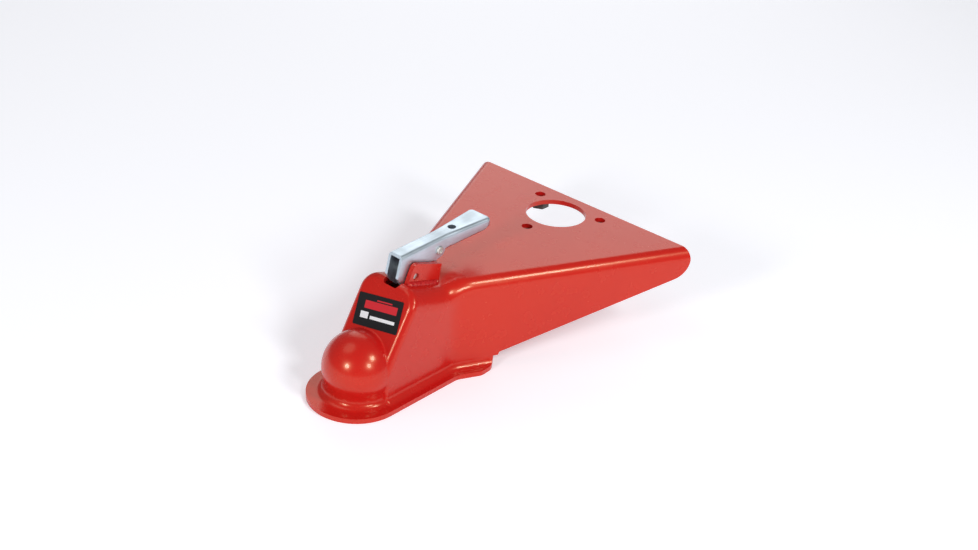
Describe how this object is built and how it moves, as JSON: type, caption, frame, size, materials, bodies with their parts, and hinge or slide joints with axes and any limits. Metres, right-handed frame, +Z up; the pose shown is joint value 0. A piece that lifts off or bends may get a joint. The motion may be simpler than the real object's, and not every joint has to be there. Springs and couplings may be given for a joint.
{
  "type": "trailer coupler",
  "caption": "A-frame trailer coupler: pressed steel ball socket and rail cover with a jack mount, a swinging lever latch with a squeeze trigger, and a clamping ball jaw.",
  "frame": {"origin": "centre of the hitch ball when the coupler is latched on it", "axes": "+Y rearwards along the trailer tongue, +Z up, +X to the side; the coupler's front is at -Y"},
  "size_m": [0.2804, 0.3634, 0.1365],
  "materials": {
    "red_paint": "gloss red paint over pressed steel",
    "zinc_plate": "bright zinc plating, faintly blue",
    "spring_steel": "drawn spring wire",
    "dark_steel": "bare steel, oiled",
    "black_label": "satin black film"
  },
  "bodies": {
    "housing": {"coupler_shell": "red_paint", "latch_bracket": "red_paint", "bracket_welds": "red_paint", "jack_weld_nuts": "dark_steel", "name_plate": "black_label", "lever_pivot_pin": "zinc_plate", "guide_plate": "dark_steel", "jaw_hinge_lugs": "dark_steel", "jaw_hinge_pin": "zinc_plate", "jaw_pin_washers": "zinc_plate"},
    "lever": {"latch_lever": "zinc_plate", "trigger_rivet": "zinc_plate", "draw_pin": "zinc_plate", "trigger_spring": "spring_steel"},
    "trigger": {"trigger": "zinc_plate"},
    "draw_bolt": {"draw_bolt": "zinc_plate", "spring_seat_washer": "zinc_plate", "clamp_washer": "zinc_plate", "adjusting_nut": "zinc_plate", "draw_spring": "spring_steel"},
    "jaw": {"ball_jaw": "dark_steel"}
  },
  "joints": [
    {"name": "lever_swing", "type": "hinge", "parent": "housing", "child": "lever", "pos_m": [0, 0.054, 0.0787], "axis": [1, 0, 0], "range_deg": [0, 60]},
    {"name": "trigger_squeeze", "type": "hinge", "parent": "lever", "child": "trigger", "pos_m": [0, 0.0889, 0.0914], "axis": [1, 0, 0], "range_deg": [0, 3.5], "stiffness_Nm_per_rad": 0.5, "springref_deg": -17.19},
    {"name": "draw_bolt_lift", "type": "slide", "parent": "housing", "child": "draw_bolt", "axis": [0, 0, 1], "range_m": [0, 0.0126], "stiffness_N_per_m": 400, "springref_m": -0.005, "deforming": ["draw_spring"]},
    {"name": "jaw_swing", "type": "hinge", "parent": "housing", "child": "jaw", "pos_m": [0, 0.0396, 0.008], "axis": [1, 0, 0], "range_deg": [0, 27.2]}
  ],
  "couplings": [
    {"joint": "draw_bolt_lift", "follows": "lever_swing", "m_per_rad": 0.011937},
    {"joint": "jaw_swing", "follows": "lever_swing", "ratio": 0.45}
  ]
}
